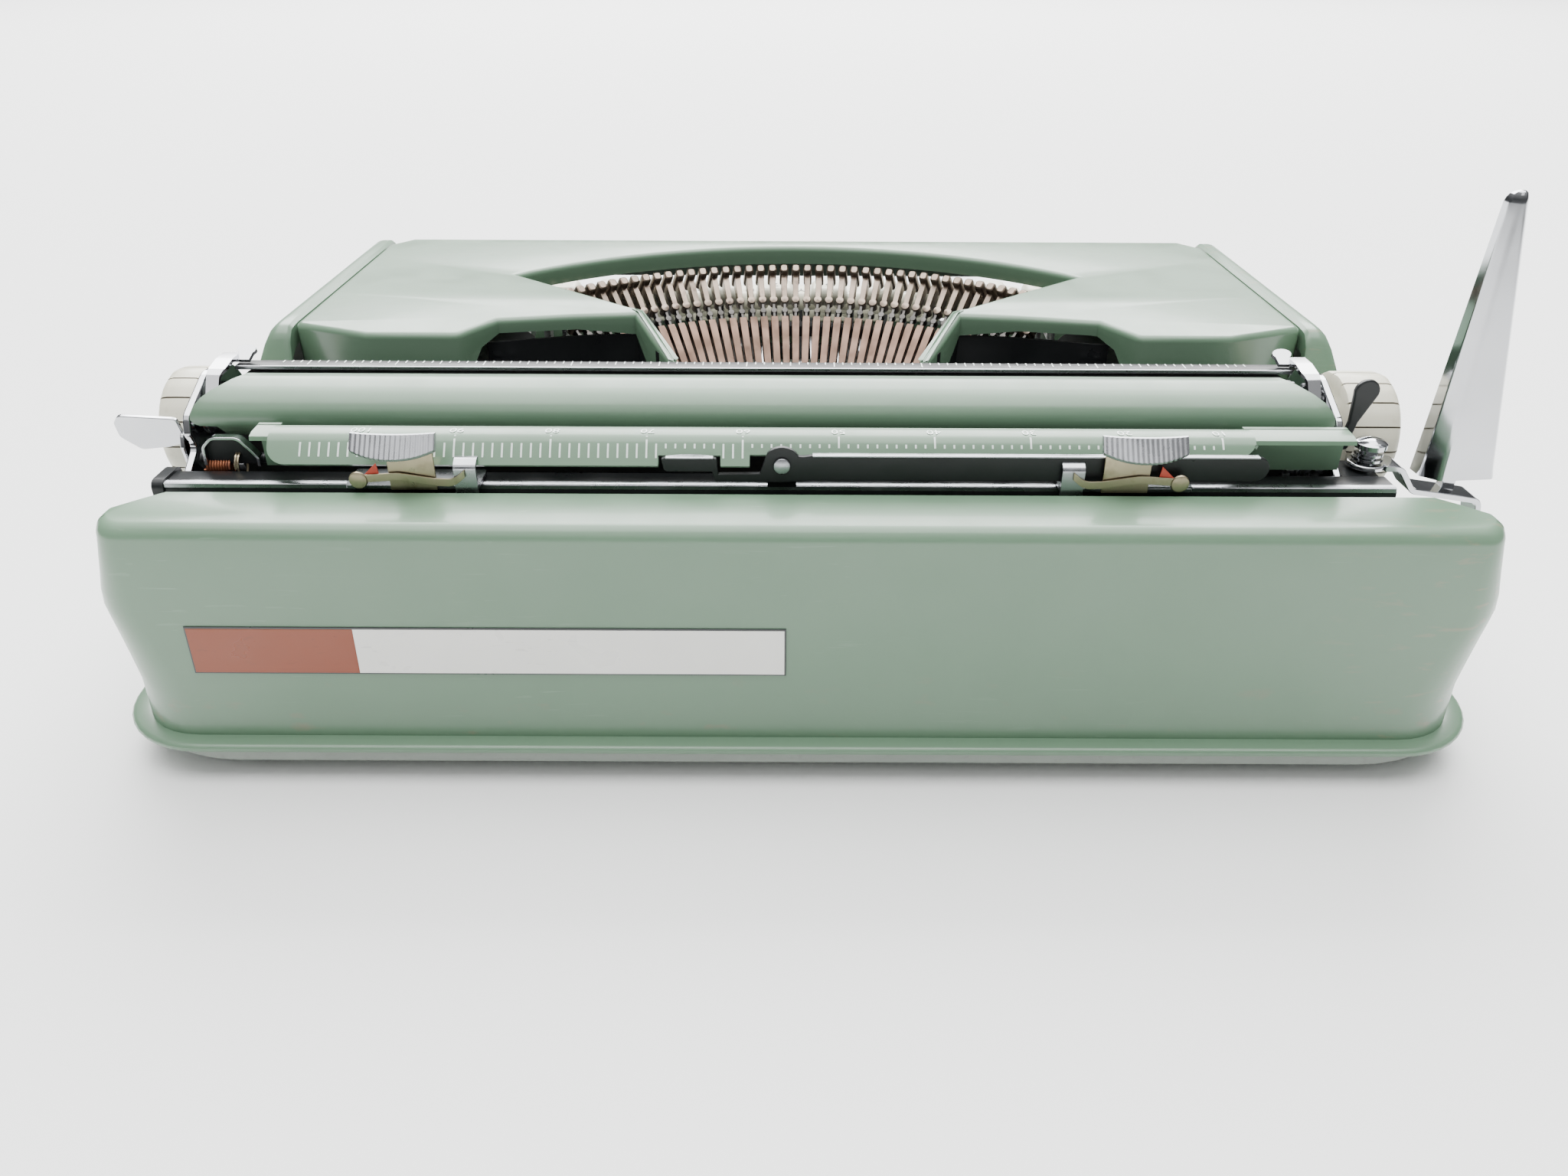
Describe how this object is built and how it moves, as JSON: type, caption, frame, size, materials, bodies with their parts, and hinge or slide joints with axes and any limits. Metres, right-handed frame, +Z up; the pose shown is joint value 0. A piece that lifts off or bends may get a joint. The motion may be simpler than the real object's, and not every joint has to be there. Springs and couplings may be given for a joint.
{
  "type": "typewriter",
  "caption": "Flat portable typewriter with enamelled shell, lift-off ribbon cover, sliding carriage, turning platen, folding return lever, typebars and a sprung keyboard.",
  "frame": {"origin": "on the floor, under the centre of the machine's bounding box", "axes": "+X to the typist's right, the typist sits at -Y, the rear panel faces +Y, +Z up"},
  "size_m": [0.3192, 0.288, 0.1228],
  "materials": {
    "green_paint": "sage green stove enamel, satin",
    "cream_plastic": "cream moulded plastic",
    "black_metal": "black satin lacquer",
    "chrome": "polished chrome plate",
    "steel": "bright plated steel",
    "brass": "brass, a little dull",
    "rubber": "hard black rubber",
    "foot_rubber": "grey-black rubber feet",
    "label": "printed aluminium plate",
    "ribbon_fabric": "inked cotton ribbon",
    "type_steel": "warm grey type steel",
    "felt": "black felt pad",
    "black_plastic": "black plastic"
  },
  "bodies": {
    "frame": {"base_tray": "green_paint", "rubber_feet": "foot_rubber", "body_shell": "green_paint", "label_plate": "label", "chassis_frame": "steel", "carriage_track": "steel", "typebar_segment": "steel", "typebar_set": "type_steel", "typebar_rest": "felt", "type_guide": "chrome", "ribbon_guide_posts": "chrome", "card_holder": "chrome", "ribbon": "ribbon_fabric", "key_pivot_rod": "steel", "bell": "brass"},
    "ribbon_cover": {"ribbon_cover": "green_paint"},
    "spool_left": {"ribbon_spool_left": "black_plastic"},
    "spool_right": {"ribbon_spool_right": "black_plastic"},
    "vibrator": {"ribbon_vibrator": "chrome"},
    "typebar": {"typebar_center": "type_steel"},
    "center_key": {"center_key": "cream_plastic"},
    "number_row": {"keys_number_row": "cream_plastic", "levers_number_row": "steel"},
    "upper_row": {"keys_upper_row": "cream_plastic", "levers_upper_row": "steel"},
    "home_row": {"keys_home_row": "cream_plastic", "levers_home_row": "steel"},
    "lower_row": {"keys_lower_row": "cream_plastic", "levers_lower_row": "steel"},
    "space_bar": {"space_bar": "cream_plastic"},
    "shift_keys": {"shift_keys": "cream_plastic"},
    "shift_lock": {"shift_lock_key": "cream_plastic"},
    "backspace": {"backspace_key": "cream_plastic"},
    "margin_release": {"margin_release_key": "cream_plastic"},
    "ribbon_selector": {"ribbon_selector": "black_plastic"},
    "mainspring_drum": {"mainspring_drum": "steel"},
    "escapement": {"escapement_wheel": "brass"},
    "carriage": {"carriage_channel": "black_metal", "carriage_end_left": "chrome", "carriage_end_right": "chrome", "escapement_rack": "steel", "paper_table": "green_paint", "margin_scale": "green_paint", "lever_pivot_screw": "chrome"},
    "platen": {"platen": "rubber", "platen_core": "steel", "platen_knob_left": "cream_plastic", "platen_knob_right": "cream_plastic"},
    "feed_front": {"feed_roller_front": "rubber"},
    "feed_rear": {"feed_roller_rear": "rubber"},
    "stop_left": {"margin_stop_left": "chrome"},
    "stop_right": {"margin_stop_right": "chrome"},
    "paper_support": {"paper_support_arm": "black_metal"},
    "paper_bail": {"paper_bail": "chrome"},
    "lever_arm": {"return_lever_arm": "chrome"},
    "lever_handle": {"return_lever_handle": "chrome"},
    "line_space": {"line_space_selector": "black_metal"},
    "paper_release": {"paper_release_lever": "black_metal"},
    "carriage_release": {"carriage_release_lever": "chrome"}
  },
  "joints": [
    {"name": "cover_lift", "type": "slide", "parent": "frame", "child": "ribbon_cover", "axis": [0, 0, 1], "range_m": [0, 0.06]},
    {"name": "spool_left_turn", "type": "hinge", "parent": "frame", "child": "spool_left", "pos_m": [-0.10135, 0.019, 0.05], "axis": [0, 0, 1], "continuous": true},
    {"name": "spool_right_turn", "type": "hinge", "parent": "frame", "child": "spool_right", "pos_m": [0.10465, 0.019, 0.05], "axis": [0, 0, 1], "continuous": true},
    {"name": "vibrator_lift", "type": "slide", "parent": "frame", "child": "vibrator", "axis": [0, 0, 1], "range_m": [0, 0.0062]},
    {"name": "typebar_swing", "type": "hinge", "parent": "frame", "child": "typebar", "pos_m": [0.00165, 0.0138, 0.0241], "axis": [-1, 0, 0], "range_deg": [0, 97]},
    {"name": "center_key_press", "type": "hinge", "parent": "frame", "child": "center_key", "pos_m": [0.00165, 0.039, 0.0105], "axis": [1, 0, 0], "range_deg": [0, 5.1], "stiffness_Nm_per_rad": 0.6, "springref_deg": -2.86},
    {"name": "number_row_press", "type": "hinge", "parent": "frame", "child": "number_row", "pos_m": [0.00165, 0.039, 0.0105], "axis": [1, 0, 0], "range_deg": [0, 7], "stiffness_Nm_per_rad": 4, "springref_deg": -2.86},
    {"name": "upper_row_press", "type": "hinge", "parent": "frame", "child": "upper_row", "pos_m": [0.00165, 0.039, 0.0105], "axis": [1, 0, 0], "range_deg": [0, 5.9], "stiffness_Nm_per_rad": 4, "springref_deg": -2.86},
    {"name": "home_row_press", "type": "hinge", "parent": "frame", "child": "home_row", "pos_m": [0.00165, 0.039, 0.0105], "axis": [1, 0, 0], "range_deg": [0, 5.1], "stiffness_Nm_per_rad": 4, "springref_deg": -2.86},
    {"name": "lower_row_press", "type": "hinge", "parent": "frame", "child": "lower_row", "pos_m": [0.00165, 0.039, 0.0105], "axis": [1, 0, 0], "range_deg": [0, 4.5], "stiffness_Nm_per_rad": 4, "springref_deg": -2.86},
    {"name": "space_bar_press", "type": "hinge", "parent": "frame", "child": "space_bar", "pos_m": [0.00165, 0.039, 0.0105], "axis": [1, 0, 0], "range_deg": [0, 2], "stiffness_Nm_per_rad": 2.5, "springref_deg": -2.86},
    {"name": "shift_press", "type": "hinge", "parent": "frame", "child": "shift_keys", "pos_m": [0.00165, 0.039, 0.0105], "axis": [1, 0, 0], "range_deg": [0, 4.5], "stiffness_Nm_per_rad": 3, "springref_deg": -2.86},
    {"name": "shift_lock_press", "type": "hinge", "parent": "frame", "child": "shift_lock", "pos_m": [0.00165, 0.039, 0.0105], "axis": [1, 0, 0], "range_deg": [0, 5.1], "stiffness_Nm_per_rad": 0.6, "springref_deg": -2.86},
    {"name": "backspace_press", "type": "hinge", "parent": "frame", "child": "backspace", "pos_m": [0.00165, 0.039, 0.0105], "axis": [1, 0, 0], "range_deg": [0, 7], "stiffness_Nm_per_rad": 0.6, "springref_deg": -2.86},
    {"name": "margin_release_press", "type": "hinge", "parent": "frame", "child": "margin_release", "pos_m": [0.00165, 0.039, 0.0105], "axis": [1, 0, 0], "range_deg": [0, 7], "stiffness_Nm_per_rad": 0.6, "springref_deg": -2.86},
    {"name": "ribbon_selector_tilt", "type": "hinge", "parent": "frame", "child": "ribbon_selector", "pos_m": [0.11765, -0.074, 0.026], "axis": [1, 0, 0], "range_deg": [-5, 5]},
    {"name": "drum_turn", "type": "hinge", "parent": "frame", "child": "mainspring_drum", "pos_m": [-0.09635, 0.088, 0.024], "axis": [0, 1, 0], "range_deg": [-500, 500]},
    {"name": "escapement_turn", "type": "hinge", "parent": "frame", "child": "escapement", "pos_m": [0.01015, 0.101, 0.0394], "axis": [0, 1, 0], "range_deg": [-1100, 1100]},
    {"name": "carriage_slide", "type": "slide", "parent": "frame", "child": "carriage", "axis": [1, 0, 0], "range_m": [-0.1165, 0.0995]},
    {"name": "platen_turn", "type": "hinge", "parent": "carriage", "child": "platen", "pos_m": [0.01015, 0.082, 0.0615], "axis": [1, 0, 0], "continuous": true},
    {"name": "feed_front_turn", "type": "hinge", "parent": "carriage", "child": "feed_front", "pos_m": [0.01015, 0.075, 0.0461], "axis": [1, 0, 0], "continuous": true},
    {"name": "feed_rear_turn", "type": "hinge", "parent": "carriage", "child": "feed_rear", "pos_m": [0.01015, 0.089, 0.0461], "axis": [1, 0, 0], "continuous": true},
    {"name": "stop_left_slide", "type": "slide", "parent": "carriage", "child": "stop_left", "axis": [1, 0, 0], "range_m": [-0.016, 0.035]},
    {"name": "stop_right_slide", "type": "slide", "parent": "carriage", "child": "stop_right", "axis": [1, 0, 0], "range_m": [-0.035, 0.018]},
    {"name": "paper_support_swing", "type": "hinge", "parent": "carriage", "child": "paper_support", "pos_m": [0.00575, 0.1161, 0.0669], "axis": [0, 1, 0], "range_deg": [0, 88]},
    {"name": "bail_swing", "type": "hinge", "parent": "carriage", "child": "paper_bail", "pos_m": [0.01015, 0.095, 0.068], "axis": [-1, 0, 0], "range_deg": [0, 60], "stiffness_Nm_per_rad": 0.02, "springref_deg": -22.92},
    {"name": "return_lever_swing", "type": "hinge", "parent": "carriage", "child": "lever_arm", "pos_m": [-0.13025, 0.1016, 0.0613], "axis": [0, 0, 1], "range_deg": [0, 7], "stiffness_Nm_per_rad": 0.2, "springref_deg": -5.73},
    {"name": "handle_fold", "type": "hinge", "parent": "lever_arm", "child": "lever_handle", "pos_m": [-0.15135, 0.1, 0.0595], "axis": [1, 0, 0], "range_deg": [0, 50]},
    {"name": "line_space_tilt", "type": "hinge", "parent": "carriage", "child": "line_space", "pos_m": [-0.12485, 0.0988, 0.065], "axis": [1, 0, 0], "range_deg": [0, 12]},
    {"name": "paper_release_pull", "type": "hinge", "parent": "carriage", "child": "paper_release", "pos_m": [0.13115, 0.1046, 0.0628], "axis": [-1, 0, 0], "range_deg": [0, 12]},
    {"name": "carriage_release_pull", "type": "hinge", "parent": "carriage", "child": "carriage_release", "pos_m": [0.14465, 0.0986, 0.054], "axis": [-1, 0, 0], "range_deg": [0, 12], "stiffness_Nm_per_rad": 0.05, "springref_deg": -11.46}
  ],
  "couplings": [
    {"joint": "typebar_swing", "follows": "center_key_press", "ratio": 18.8},
    {"joint": "vibrator_lift", "follows": "center_key_press", "m_per_rad": 0.06741},
    {"joint": "spool_right_turn", "follows": "spool_left_turn", "ratio": 0.6087},
    {"joint": "drum_turn", "follows": "carriage_slide", "rad_per_m": 69.444},
    {"joint": "escapement_turn", "follows": "carriage_slide", "rad_per_m": 158.73},
    {"joint": "feed_front_turn", "follows": "platen_turn", "ratio": -5.3846},
    {"joint": "feed_rear_turn", "follows": "platen_turn", "ratio": -5.3846}
  ]
}
